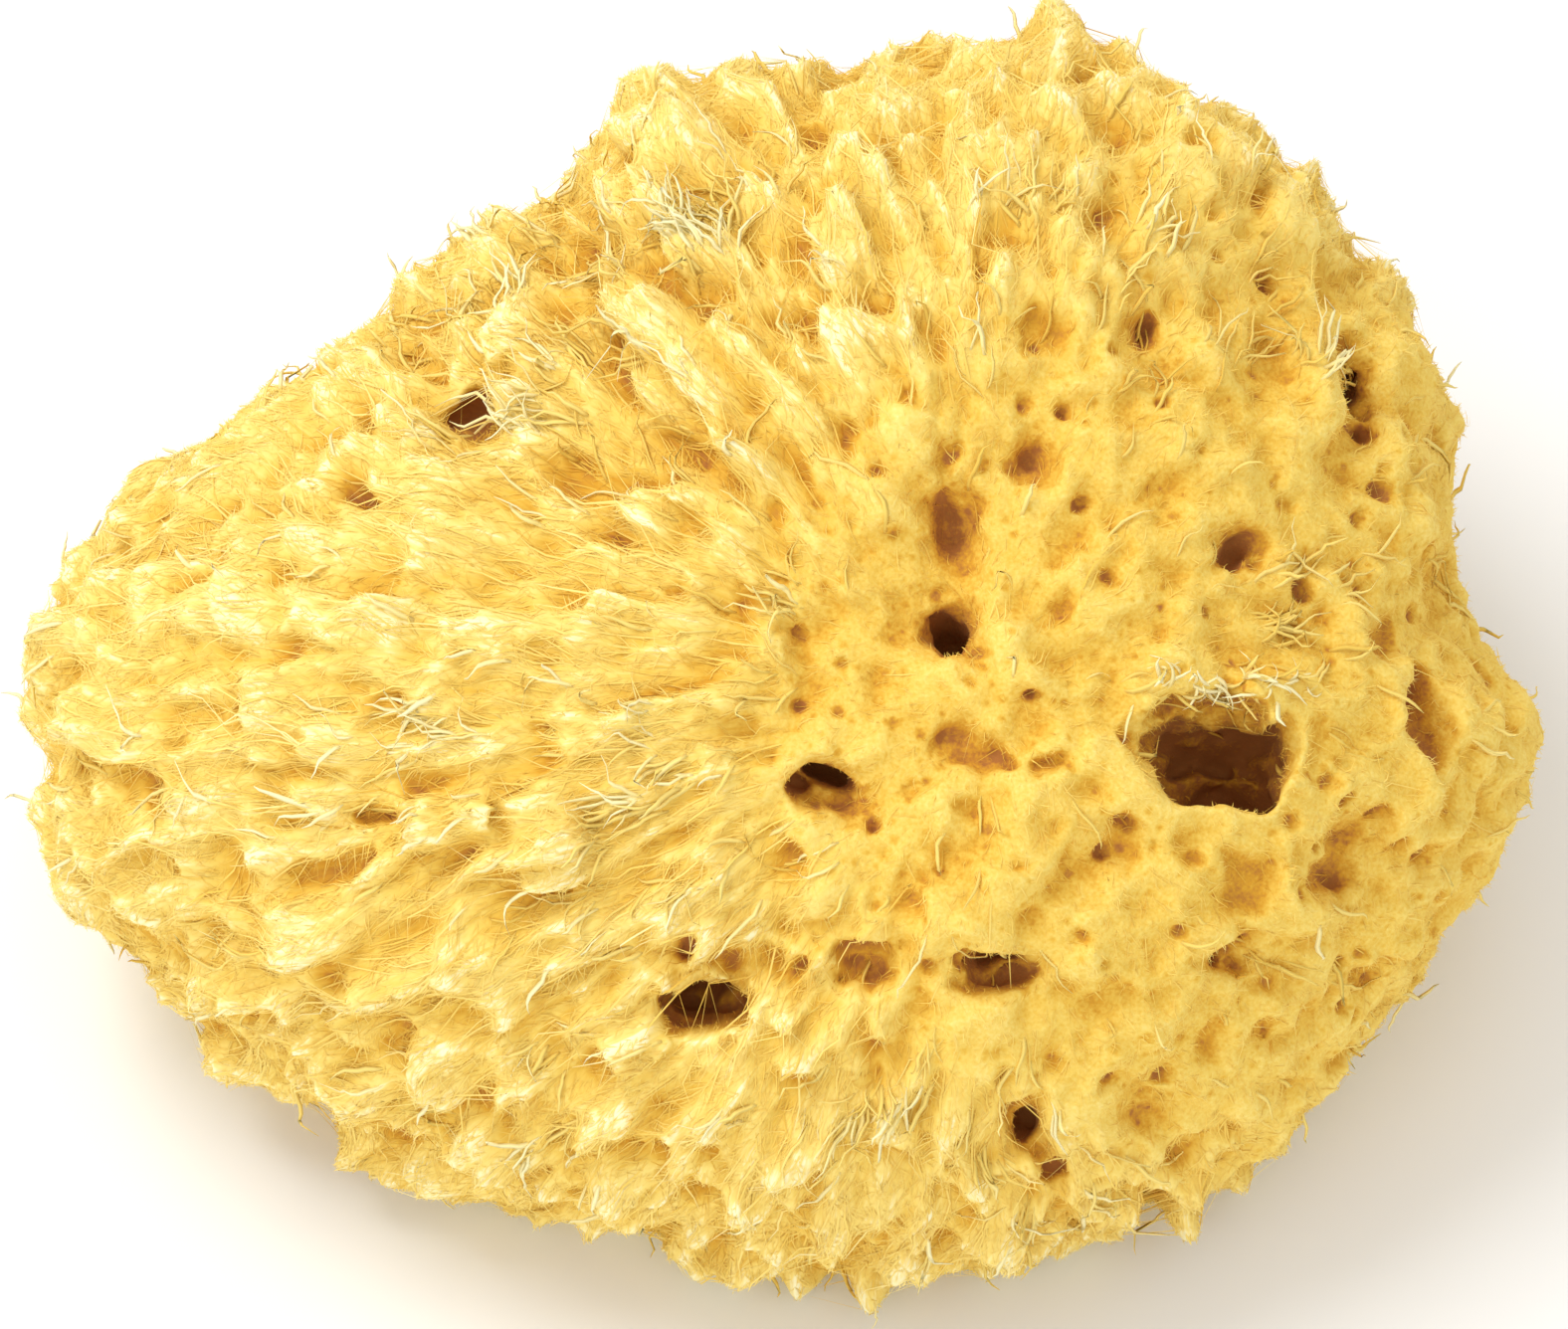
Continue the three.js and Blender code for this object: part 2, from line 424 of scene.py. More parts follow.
def makeFelt():
    look = feltLook
    material, net, shader = newMaterial("feltedSpongin", 0.95, 0.08)
    place = net.wire(net.add("ShaderNodeTexCoord"), "Object") * 1000.0
    names = ["openness", "cavernShade", "fleece", "crest", "along", "mottle"]
    openness, cavernShade, fleece, crest, along, mottle = [
        net.wire(net.add("ShaderNodeAttribute", attribute_name=name), "Fac") for name in names]
    combed = net.wire(net.add("ShaderNodeAttribute", attribute_name="combed"), "Vector")
    grain = net.noise(place, look["grainSize"], 1.0, 0.6) - 0.5
    fine = net.noise(combed, look["fineWidth"], 1.0, 0.6, along=along / look["fineLength"]) - 0.5
    streak = net.noise(combed, look["streakWidth"], 1.0, 0.6, along=along / look["streakLength"]) - 0.5
    onFleece = fine * look["fine"] + streak * look["streak"]
    onSkin = grain * look["grain"] + streak * (look["streak"] * 0.3)
    texture = net.mix(onSkin, onFleece, fleece) * 2.0
    # painted shade: dark dots where the skin's pores and fine pores lie, fainter on the fleece
    pores = skinPores(net, place, mottle) * look["pore"]
    pores = pores + poreShare(net, place, finePores, mottle) * look["finePore"]
    # painted shade and highlight: the tone falls where less of the space above is open, in furrows and down
    # wide canals, and rises on crests; fleece, mottle, grain and streaks are the sponge's own uneven colour
    tone = openness * look["open"] + look["base"] + crest * (fleece * look["crestOnFleece"] + look["crest"])
    tone = tone + fleece * look["fleece"] - cavernShade * look["cavernShade"]
    tone = tone + mottle * look["mottle"] + texture
    tone = tone - pores * (1.0 - fleece * (1.0 - look["poreOnFleece"]))
    net.plug(shader.inputs["Base Color"], toneColour(net, tone))
    relief = net.mix(grain, fine, fleece)
    bump = net.add("ShaderNodeBump", {"Height": relief, "Strength": look["bump"]})
    bump.inputs["Distance"].default_value = look["bumpDepth"] * mm
    net.plug(shader.inputs["Normal"], net.wire(bump))
    return material


# one loose fibre's colour comes from its own map: across is how open its place is, which carries painted
# shade, up is root to tip, a little darker at the root than at the tip
def makeFibreLook():
    material, net, shader = newMaterial("looseSpongin", 0.85, 0.08)
    onFibre = net.wire(net.add("ShaderNodeUVMap", uv_map="OFBake"))
    parts = net.add("ShaderNodeSeparateXYZ", {"Vector": onFibre})
    tone = net.wire(parts, "X") + net.wire(parts, "Y") * 0.06 - 0.03
    net.plug(shader.inputs["Base Color"], toneColour(net, tone))
    return material


felt = makeFelt()
fibreLook = makeFibreLook()
print("materials made")

# the body: the CAD lump drawn in a little, then grown into locks, strands, folds and pores
bodySizes = dict(
    coarse=0.65, fine=0.5, blur=6, inset=2.4, warpSize=6.0, warp=3.1,
    lockWidth=6.0, lockLength=16.0, lockHeight=2.9, patchSize=16.0,
    tuftWidth=11.0, tuftLength=22.0, tuftHeight=2.6,
    strandWidth=4.6, strandLength=14.0, strandHeight=1.5,
    threadWidth=1.9, threadLength=8.0, threadHeight=0.8,
    slitWidth=2.4, slitLength=8.0, slitDepth=2.6,
    fill=3.0, notchWidth=5.0, notchDepth=2.5, undercut=0.09,
    holeSpacing=13.0, holeRadius=2.4, holeDepth=5.0,
    spikeWidth=5.6, spikeLength=4.2, barbWidth=2.8, barbLength=3.4,
    lumpSize=11.0, lumpHeight=1.9, foldSize=4.2, foldHeight=1.5, poreDepth=1.8,
    shelterRays=12, shelterReach=22.0,
    triangles=192000,
)
bodyInputs = dict.fromkeys([
    "Inset", "Warp Size", "Warp", "Lock Width", "Lock Length", "Lock Height", "Tuft Width", "Tuft Length",
    "Tuft Height", "Strand Width", "Strand Length", "Strand Height", "Thread Width", "Thread Length",
    "Thread Height", "Lump Size", "Lump Height", "Fold Size", "Fold Height", "Pore Depth", "Fill",
    "Notch Width", "Notch Depth", "Spike Width", "Spike Length", "Barb Width", "Barb Length", "Undercut",
    "Slit Width", "Slit Length", "Slit Depth", "Patch Size", "Hole Spacing", "Hole Radius", "Hole Depth",
], "NodeSocketFloat")
bodyInputs["Blur"] = "NodeSocketInt"


# a hole or dent of the face that is too small for the CAD part: its middle in the photo's pixels, width,
# height and depth in mm, turn in degrees, and the shares of its width between which the wall rises
def dent(pixel, size, depth, turn=0, wall=(0.2, 1.2)):
    return dict(pixel=pixel, size=size, depth=depth, turn=turn, wall=wall)


steep = (0.4, 1.1)
dents = [
    dent((1240, 745), (15.2, 8.4), 6.5, turn=4, wall=(0.8, 1.06)),
    dent((1262, 985), (4.8, 4.2), 2.6, wall=steep),
    dent((1236, 976), (4.4, 3.6), 2.6, turn=20, wall=steep),
    dent((1035, 1152), (3.6, 5.6), 2.6, turn=8, wall=steep),
    dent((1068, 1188), (4.2, 4.0), 2.4, wall=steep),
    dent((880, 991), (9.4, 2.8), 4.5, turn=-4, wall=steep),
    dent((1005, 995), (9.6, 3.2), 2.4, turn=8, wall=steep),
    dent((700, 1034), (11.0, 4.6), 2.6, turn=14, wall=(0.5, 1.1)),
    dent((664, 1046), (4.0, 4.0), 3.0, turn=30, wall=steep),
    dent((683, 985), (2.6, 3.8), 3.5, wall=steep),
    dent((800, 794), (4.6, 2.6), 3.0, turn=-24, wall=steep),
    dent((840, 808), (6.0, 4.0), 2.6, turn=-14, wall=steep),
    dent((960, 630), (6.4, 5.6), 2.4, wall=steep),
    dent((970, 530), (6.6, 12.0), 1.2, turn=4, wall=(0.3, 1.1)),
    dent((953, 450), (3.0, 4.6), 2.4, wall=steep),
    dent((1052, 455), (4.4, 6.6), 0.8, turn=32, wall=(0.45, 1.1)),
    dent((965, 752), (8.6, 4.2), 0.8, turn=-18, wall=(0.45, 1.1)),
    dent((1390, 388), (3.8, 11.0), 4.0, turn=-6, wall=steep),
    dent((1383, 880), (8.6, 10.0), 1.4, wall=(0.75, 1.05)),
    dent((450, 415), (11.0, 7.4), 2.6, turn=-24, wall=steep),
    dent((965, 545), (9.0, 20.0), 1.6, turn=5),
    dent((1075, 778), (3.7, 3.3), 3.0),
    dent((1033, 719), (2.2, 2.4), 2.0),
    dent((1089, 694), (2.5, 1.2), 2.5, turn=-40),
    dent((1101, 743), (1.3, 1.7), 2.5),
    dent((926, 802), (2.8, 1.0), 3.0),
    dent((989, 826), (3.0, 3.0), 2.0),
    dent((896, 872), (2.0, 2.0), 2.0),
    dent((959, 884), (1.8, 2.6), 3.0),
    dent((940, 901), (2.6, 2.0), 2.5),
    dent((1035, 880), (2.6, 2.2), 2.2),
    dent((1067, 843), (1.5, 1.5), 2.0),
    dent((1028, 851), (1.3, 1.3), 2.0),
    dent((1040, 761), (1.5, 1.3), 2.0),
    dent((1158, 830), (2.6, 2.4), 2.0),
    dent((1183, 861), (1.2, 1.2), 2.0),
    dent((1215, 874), (2.4, 2.4), 2.0),
    dent((1250, 892), (1.3, 1.3), 2.0),
    dent((1089, 872), (1.8, 1.8), 2.0),
    dent((1096, 608), (2.2, 2.2), 2.0),
    dent((1183, 631), (1.6, 2.0), 2.0),
    dent((1332, 631), (1.8, 1.8), 2.0),
    dent((1355, 623), (1.6, 1.9), 3.0),
    dent((1156, 547), (2.6, 3.4), 2.5),
    dent((1190, 505), (2.4, 2.4), 2.5),
    dent((1255, 555), (2.6, 2.4), 3.0),
    dent((1278, 548), (2.0, 3.0), 3.0),
    dent((1383, 890), (1.5, 1.5), 1.5),
    dent((1412, 915), (1.3, 1.3), 1.5),
    dent((1420, 886), (1.2, 1.2), 1.5),
    dent((1395, 926), (1.1, 1.1), 1.5),
    dent((914, 692), (1.4, 1.4), 2.0),
    dent((665, 590), (1.7, 1.7), 2.5),
    dent((745, 590), (3.0, 1.6), 3.5, turn=-30),
    dent((790, 640), (3.2, 1.6), 3.0, turn=-20),
    dent((350, 830), (4.0, 1.8), 3.5),
    dent((370, 705), (5.0, 1.7), 3.0),
    dent((415, 725), (3.0, 1.4), 3.0),
    dent((680, 975), (2.4, 2.0), 3.5),
    dent((1147, 987), (1.8, 1.6), 3.0),
    dent((1295, 1050), (1.7, 1.7), 2.2),
    dent((820, 1150), (1.6, 4.0), 2.5),
    dent((1165, 310), (3.4, 3.0), 4.0),
    dent((1190, 235), (1.4, 1.4), 2.5),
    dent((1210, 190), (1.4, 1.4), 2.5),
    dent((1240, 280), (1.4, 1.4), 2.5),
]


# where a place lies in the picture, in mm to the right of its middle and up
def inPicture(net, place):
    offset = place - faceMiddle
    nearer = cameraAway / (cameraAway - offset.dot(faceOut))
    return offset.dot(faceRight) * nearer, offset.dot(faceUp) * nearer


def pixelPlace(pixel):
    width, height = faceView["pictureSize"]
    scale = faceView["mmPerPixel"]
    return (pixel[0] - width / 2) * scale, (height / 2 - pixel[1]) * scale


dentEdges = dict(raggedSize=3.4, ragged=6.5, sink=0.85)
onFront = (4.0, 10.0)  # mm out from the middle between which the face begins


def dentDepth(net, place):
    uneven = net.noise(place, dentEdges["raggedSize"], 2.0, 0.55, out="Color") - (0.5, 0.5, 0.5)
    right, up = inPicture(net, place + uneven * dentEdges["ragged"])
    deepest = None
    for spec in dents:
        dentRight, dentUp = pixelPlace(spec["pixel"])
        turn = math.radians(spec["turn"])
        offRight, offUp = right - dentRight, up - dentUp
        across = (offRight * math.cos(turn) + offUp * math.sin(turn)) * (2 / spec["size"][0])
        upwards = (offUp * math.cos(turn) - offRight * math.sin(turn)) * (2 / spec["size"][1])
        off = net.calc("SQRT", across * across + upwards * upwards)
        sunk = off.ramp(*spec["wall"], spec["depth"] * dentEdges["sink"], 0.0)
        deepest = sunk if deepest is None else net.calc("MAXIMUM", deepest, sunk)
    return deepest * (place - faceMiddle).dot(faceOut).ramp(*onFront)


# the fold across the lower face: a lip that hangs over a narrow hollow
skirtFold = dict(up=-30.0, fromRight=-17.0, toRight=27.0, fade=7.0, lip=1.5, hollow=2.6,
                 roughSize=9.0, rough=14.0, breakSize=8.0, breaks=(0.38, 0.58))


def foldHeight(net, place):
    offset = place - faceMiddle
    right = offset.dot(faceRight)
    fold = skirtFold
    rough = (net.noise(place, fold["roughSize"], 1.5, 0.5) - 0.5) * fold["rough"]
    broken = net.noise(place + (90.0, 0.0, 0.0), fold["breakSize"], 1.0, 0.5).ramp(*fold["breaks"])
    over = offset.dot(faceUp) - fold["up"] + rough
    lip = over.ramp(-0.5, 1.2) * over.ramp(1.5, 7.0, 1.0, 0.0) * fold["lip"]
    hollow = over.ramp(-4.5, -1.5) * over.ramp(-0.8, 0.6, 1.0, 0.0) * fold["hollow"]
    window = right.ramp(fold["fromRight"], fold["fromRight"] + fold["fade"])
    window = window * right.ramp(fold["toRight"] - fold["fade"], fold["toRight"], 1.0, 0.0)
    return (lip - hollow * broken) * window * offset.dot(faceOut).ramp(*onFront)


# a lock rises along the flow, ends in a tip that hangs over the next one, and is rounded across
def lockHeight(net, combed, along, width, length):
    spot = combed * (1.0 / width) + (along / length) * faceOut
    cell = net.cell(spot, loose=0.9)
    offset = spot - net.wire(cell, "Position")
    down = offset.dot(faceOut)
    across = (offset - down * faceOut).length()
    chance = net.part(net.wire(cell, "Color"), "X")
    rise = down.ramp(-0.6, 0.25)
    end = down.ramp(0.25, 0.5, 1.0, 0.0)
    rounded = (1.0 - across * across * 1.6).clamped()
    return rise * end * rounded * (chance * 0.8 + 0.6)


# rounded strands with narrow furrows between them, from about -0.5 to 1
def billow(net, place, width, detail, along):
    level = net.noise(place, width, detail, 0.5, along) - 0.5
    return net.calc("ABSOLUTE", level).ramp(0.0, 0.22, -0.5, 1.0)


# pointed tufts side by side around the rim, 1 at a tip
def spikeShare(net, combed, width):
    return net.wire(net.cell(combed, 1.0 / width), "Distance").ramp(0.1, 0.62, 1.0, 0.0, smooth=False)


# how long the tufts are below, above and at the right, from mm on the face to shares
rimTufts = dict(below=(-15.0, -35.0), belowShare=0.7, above=(30.0, 48.0), aboveShare=0.2, elsewhere=0.3,
                right=(24.0, 44.0), rightShare=0.4)


def makeBodyTree():
    net, inputs = newTree("spongeBody", bodyInputs)
    position = net.position()
    normal = net.wire(net.add("GeometryNodeInputNormal"))
    place = position * 1000.0

    # the lump's facets and the canals' rims go soft and uneven
    above = place.dot((0.0, 0.0, 1.0)).ramp(0.0, 7.0)
    uneven = net.noise(place, inputs["Warp Size"], 2.0, 0.5, out="Color") - (0.5, 0.5, 0.5)
    blurred = net.add("GeometryNodeBlurAttribute", data_type="FLOAT_VECTOR")
    net.plug(blurred.inputs["Value"], position + uneven * (inputs["Warp"] * above * (2.0 * mm)))
    net.plug(blurred.inputs["Iterations"], inputs["Blur"])
    softened = net.add("GeometryNodeSetPosition", {"Geometry": inputs["Geometry"]})
    net.plug(softened.inputs["Position"], net.wire(blurred))
    mesh = storeBlocked(net, net.wire(softened), bodySizes["shelterRays"], bodySizes["shelterReach"])
    free = 1.0 - net.attribute("blocked") / float(bodySizes["shelterRays"])
    outside = free.ramp(0.45, 0.75)  # 0 down in the canals

    around, along, reach, flow = alongGrowth(net, place)
    fleece = fleeceShare(net, place)
    combed = combedPlace(net, place, around)
    locks = lockHeight(net, combed, along, inputs["Lock Width"], inputs["Lock Length"])
    tufts = billow(net, combed, inputs["Tuft Width"], 1.5, along / inputs["Tuft Length"])
    strands = billow(net, combed, inputs["Strand Width"], 1.5, along / inputs["Strand Length"])
    threads = billow(net, combed, inputs["Thread Width"], 1.0, along / inputs["Thread Length"])
    crown = (place - faceMiddle).dot(faceUp).ramp(10.0, 40.0)
    patch = net.noise(place, inputs["Patch Size"], 1.0, 0.5)
    slits = net.noise(combed, inputs["Slit Width"], 1.0, 0.5, along / inputs["Slit Length"])
    slits = slits.ramp(0.60, 0.72) * inputs["Slit Depth"]
    onFleece = locks * inputs["Lock Height"] * patch.ramp(0.38, 0.62, 0.15, 1.0) - slits
    onFleece = onFleece + tufts * inputs["Tuft Height"] * (crown * 0.3 + 0.7)
    onFleece = onFleece + strands * inputs["Strand Height"] + threads * inputs["Thread Height"]
    lumps = (net.noise(place, inputs["Lump Size"], 2.0, 0.5) - 0.5) * 3.0
    folds = (net.noise(place, inputs["Fold Size"], 3.0, 0.6) - 0.5) * 3.0
    onSkin = lumps * inputs["Lump Height"] + folds * inputs["Fold Height"] + strands * 0.3
    onFleece = onFleece + lumps * (inputs["Lump Height"] * (crown + 0.3))
    onFleece = onFleece + folds * (inputs["Fold Height"] * 0.5)
    height = net.mix(onSkin, onFleece, fleece) * (outside * 0.8 + 0.2)

    cluster = net.noise(place, feltLook["mottleSize"], 3.0, 0.6) - 0.5
    pores = skinPores(net, place, cluster) * inputs["Pore Depth"] * (1.0 - fleece * 0.8) * outside

    leaning = (normal + flow * (fleece * 0.9)).unit()
    filled = free.ramp(0.02, 0.25, inputs["Fill"], 0.0)
    inwards = (place - faceMiddle).unit() * (filled - inputs["Inset"])

    # tufts stand apart along the rim, and hang from it along the lower edge
    facing = net.calc("ABSOLUTE", (place - faceMiddle).dot(faceOut))
    upwards = (place - faceMiddle).dot(faceUp)
    gap = net.noise(combed, inputs["Notch Width"], 1.5, 0.5, along / 30.0).ramp(0.47, 0.60)
    notch = gap * inputs["Notch Depth"] * facing.ramp(6.0, 20.0, 1.0, 0.0)
    spikes = spikeShare(net, combed, inputs["Spike Width"]) * inputs["Spike Length"]
    spikes = spikes + spikeShare(net, combed, inputs["Barb Width"]) * inputs["Barb Length"]
    rim = rimTufts
    hanging = upwards.ramp(*rim["below"]) * rim["belowShare"]
    hanging = hanging + upwards.ramp(*rim["above"]) * rim["aboveShare"] + rim["elsewhere"]
    hanging = hanging * (place - faceMiddle).dot(faceRight).ramp(*rim["right"], 1.0, rim["rightShare"])
    spike = spikes * hanging * patch.ramp(0.35, 0.6, 0.4, 1.1) * facing.ramp(1.5, 9.0, 1.0, 0.0)
    faceways = foldHeight(net, place) - dentDepth(net, place)

    # canals that open on the sides and the back
    cell = net.cell(place + uneven * 7.0, 1.0 / inputs["Hole Spacing"])
    chance = net.part(net.wire(cell, "Color"), "Y")
    into = inputs["Hole Radius"] * (chance * 0.8 + 0.4) - net.wire(cell, "Distance") * inputs["Hole Spacing"]
    behind = (place - faceMiddle).dot(faceOut).ramp(-8.0, 4.0, 1.0, 0.0)
    inwards = inwards - (place - faceMiddle).unit() * (into.ramp(-0.3, 1.0) * behind * inputs["Hole Depth"])
    push = leaning * height - normal * pores + inwards + faceways * faceOut
    push = push + around * ((spike - notch) * fleece)

    # near the cut it only moves sideways, and the cut itself is drawn in under the tufts
    level = place.dot((0.0, 0.0, 1.0)).ramp(0.0, 2.5)
    drawnIn = place * (-1.0, -1.0, 0.0) * inputs["Undercut"]
    push = net.mix(drawnIn, push * (1.0, 1.0, 0.0), level) + push * (0.0, 0.0, 1.0) * above
    grown = net.add("GeometryNodeSetPosition", {"Geometry": mesh})
    net.plug(grown.inputs["Offset"], push * mm)
    return endTree(net, net.wire(grown), felt)


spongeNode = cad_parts["sponge"]


# a merged copy of the CAD node, which stays as it is
def lumpCopy():
    lump = bpy.data.objects.new("lumpCopy", spongeNode.data.copy())
    bpy.context.scene.collection.objects.link(lump)
    weld = lump.modifiers.new("weld", "WELD")
    weld.merge_threshold = 1e-6
    return lump


def addRemesh(obj, voxel):
    remesh = obj.modifiers.new("remesh", "REMESH")
    remesh.mode = "VOXEL"
    remesh.voxel_size = voxel * mm
    remesh.adaptivity = 0.0


# the tree's inputs are the sizes of the same name: "Lock Width" is lockWidth
def treeValues(sizes, labels):
    return {label: sizes[label[0].lower() + label[1:].replace(" ", "")] for label in labels}


lump = lumpCopy()
addRemesh(lump, bodySizes["coarse"])
addModifier(lump, makeBodyTree(), treeValues(bodySizes, bodyInputs))
addRemesh(lump, bodySizes["fine"])
rawBody = settle(lump, "rawBody")
print("body grown:", countTriangles(rawBody), "triangles")
bpy.data.objects.remove(lump)

# how open each place on the body is: rays into the half space over it that go free
opennessSizes = dict(rays=24, reach=14.0, crestBlur=24)


def makeOpennessTree():
    net, inputs = newTree("spongeOpenness", {"Rays": "NodeSocketInt", "Reach": "NodeSocketFloat"})
    position = net.position()
    place = position * 1000.0

    # everything within reach of the cut lies flat in it
    flat = net.add("GeometryNodeSetPosition", {"Geometry": inputs["Geometry"]})
    net.plug(flat.inputs["Selection"], net.calc("LESS_THAN", place.dot((0.0, 0.0, 1.0)), 0.9))
    net.plug(flat.inputs["Position"], position * (1.0, 1.0, 0.0))
    mesh = storeBlocked(net, net.wire(flat), inputs["Rays"], inputs["Reach"])
    # openness, cavern and crest also paint shade into the felt's and the fibres' colour, and a highlight onto
    # crests
    mesh = net.store(mesh, "openness", 1.0 - net.attribute("blocked") / inputs["Rays"])
    mesh = net.store(mesh, "cavernShade", (net.attribute("wide") / inputs["Rays"]).ramp(0.35, 0.7))
    mesh = net.store(mesh, "fleece", fleeceShare(net, place) * place.dot((0.0, 0.0, 1.0)).ramp(0.3, 2.0))
    around, along, reach, flow = alongGrowth(net, place)
    mesh = net.store(mesh, "combed", combedPlace(net, place, around), "FLOAT_VECTOR")
    mesh = net.store(mesh, "along", along)
    mesh = net.store(mesh, "mottle", net.noise(place, feltLook["mottleSize"], 3.0, 0.6) - 0.5)
    blurred = net.add("GeometryNodeBlurAttribute", data_type="FLOAT_VECTOR")
    net.plug(blurred.inputs["Value"], place)
    net.plug(blurred.inputs["Iterations"], opennessSizes["crestBlur"])
    crest = (place - net.wire(blurred)).dot(net.wire(net.add("GeometryNodeInputNormal")))
    # furrows count more than crests, which deepens the painted shade in them
    crest = crest + crest.clamped(-1.5, 0.0) * 1.1
    mesh = net.store(mesh, "crest", crest.clamped(-2.2, 0.8))
    smooth = net.add("GeometryNodeSetShadeSmooth", {"Geometry": mesh, "Shade Smooth": True})
    return endTree(net, net.wire(smooth), felt)


thin = rawBody.modifiers.new("thin", "DECIMATE")
thin.ratio = min(1.0, bodySizes["triangles"] / countTriangles(rawBody))
addModifier(rawBody, makeOpennessTree(), {"Rays": opennessSizes["rays"], "Reach": opennessSizes["reach"]})
body = settle(rawBody, "sponge_body")
body.data.validate()  # the thinning leaves a few doubled faces
bpy.data.objects.remove(rawBody)
print("body finished:", countTriangles(body), "triangles")

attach(body, "root")
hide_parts("sponge")


# loose fibres: one kind for each piece, narrow ribbons that lie along the flow or round strands that curl
fibreKinds = [
    dict(name="wool_lower", seed=11, count=88000, rings=2, length=2.1, width=0.10, zone=(1.0, 0.25),
         lift=0.18, wander=0.80, curl=1.9, wave=0.5, clump=0.3, hug=0.85, height=0.14, tone=-0.01),
    dict(name="wool_upper", seed=12, count=90000, rings=2, length=2.6, width=0.10, zone=(1.0, 0.12),
         lift=0.22, wander=0.60, curl=1.7, wave=0.7, clump=0.6, hug=0.85, height=0.20, tone=-0.01),
    dict(name="combed", seed=13, count=15000, rings=4, length=7.0, width=0.14, zone=(1.0, 0.03),
         lift=0.12, wander=0.16, curl=0.6, wave=1.0, clump=0.9, hug=0.93, height=0.18, tone=0.0),
    dict(name="skin_fuzz", seed=14, count=100000, rings=2, length=1.1, width=0.07, zone=(0.35, 1.0),
         lift=0.40, wander=0.9, curl=1.4, wave=0.3, clump=0.0, hug=0.25, height=0.25, tone=0.0),
    dict(name="loose_strands", seed=15, count=190000, rings=7, length=5.4, width=0.40, zone=(1.0, 1.0),
         lift=0.20, wander=0.55, curl=2.2, wave=1.8, clump=0.5, hug=0.55, height=0.6, tone=0.13,
         isStrand=True),
    dict(name="mouth_strands", seed=16, count=60000, rings=7, length=3.4, width=0.42, zone=(1.0, 1.0),
         lift=0.35, wander=1.6, curl=3.6, wave=1.0, clump=0.0, hug=0.25, height=0.7, tone=0.26,
         isStrand=True, atMouth=True),
]
# where strands have come loose, in the photo's pixels, and how far around that in mm
mouthRim = dict(pixel=(1232, 684), spread=(6.0, 1.1), amount=1.0)
strandPlaces = [
    dict(pixel=(800, 615), spread=(3.0, 3.0), amount=0.9),
    dict(pixel=(470, 745), spread=(6.0, 4.0), amount=0.4),
    dict(pixel=(545, 1095), spread=(3.0, 2.5), amount=0.9),
    dict(pixel=(655, 860), spread=(6.0, 4.0), amount=0.6),
    dict(pixel=(640, 775), spread=(6.0, 5.0), amount=0.45),
    dict(pixel=(920, 1085), spread=(4.0, 3.0), amount=0.8),
    dict(pixel=(1045, 1180), spread=(4.0, 2.5), amount=0.7),
    dict(pixel=(980, 250), spread=(4.0, 5.0), amount=0.6),
    dict(pixel=(700, 205), spread=(3.0, 4.0), amount=0.7),
    dict(pixel=(1315, 370), spread=(3.5, 1.5), amount=0.8),
    dict(pixel=(590, 360), spread=(10.0, 9.0), amount=0.35),
    dict(pixel=(1200, 285), spread=(5.0, 5.0), amount=0.4),
    dict(pixel=(1290, 645), spread=(4.0, 4.0), amount=0.5),
]
strandElsewhere = 0.03
strandBunch = dict(size=3.6, share=(0.56, 0.64))


def nearSpot(net, spot, right, up):
    spotRight, spotUp = pixelPlace(spot["pixel"])
    offRight = (right - spotRight) * (1 / spot["spread"][0])
    offUp = (up - spotUp) * (1 / spot["spread"][1])
    return net.calc("EXPONENT", (offRight * offRight + offUp * offUp) * -0.5) * spot["amount"]


# strands come loose in bunches, and singly along the rim of the main mouth
def strandShare(net, place, atMouth):
    right, up = inPicture(net, place)
    total = strandElsewhere
    for spot in strandPlaces:
        total = nearSpot(net, spot, right, up) + total
    inFront = (place - faceMiddle).dot(faceOut).ramp(0.0, 6.0)
    bunch = net.noise(place, strandBunch["size"], 1.0, 0.5).ramp(*strandBunch["share"])
    bunches = net.mix(strandElsewhere, total, inFront) * bunch
    return net.mix(bunches, nearSpot(net, mouthRim, right, up) * inFront, atMouth)


fibreInputs = dict.fromkeys([
    "Density", "Length", "Width", "On Fleece", "On Skin", "Lift", "Wander", "Curl", "Wave", "Clump", "Hug",
    "Height", "Tone",
], "NodeSocketFloat")
fibreInputs.update(dict.fromkeys(["Seed", "Rings"], "NodeSocketInt"))
fibreInputs.update(dict.fromkeys(["Is Strand", "At Mouth"], "NodeSocketBool"))
clumpSizes = dict(width=2.6, length=14.0)
# a fibre's tone follows the felt's below it, drawn towards the middle, so it carries the felt's painted shade
# from openness and furrows and its painted highlight on crests
fibreTone = dict(open=0.62, crest=0.22, fleece=0.16, clump=0.05, share=0.65, base=0.25, own=0.04)


# the clump that a place belongs to: how far its middle lies to the side, in mm, and the clump's own chance
def clumpOffset(net, place, around, along, reach):
    width = clumpSizes["width"]
    spot = combedPlace(net, place, around) * (1 / width) + (along / clumpSizes["length"]) * faceOut
    cell = net.cell(spot)
    offset = net.wire(cell, "Position") - spot
    sideways = around.cross(faceOut)
    amount = offset.dot(sideways) * (width / growth["span"]) * reach
    chance = net.part(net.wire(cell, "Color"), "X")
    return sideways * amount, chance


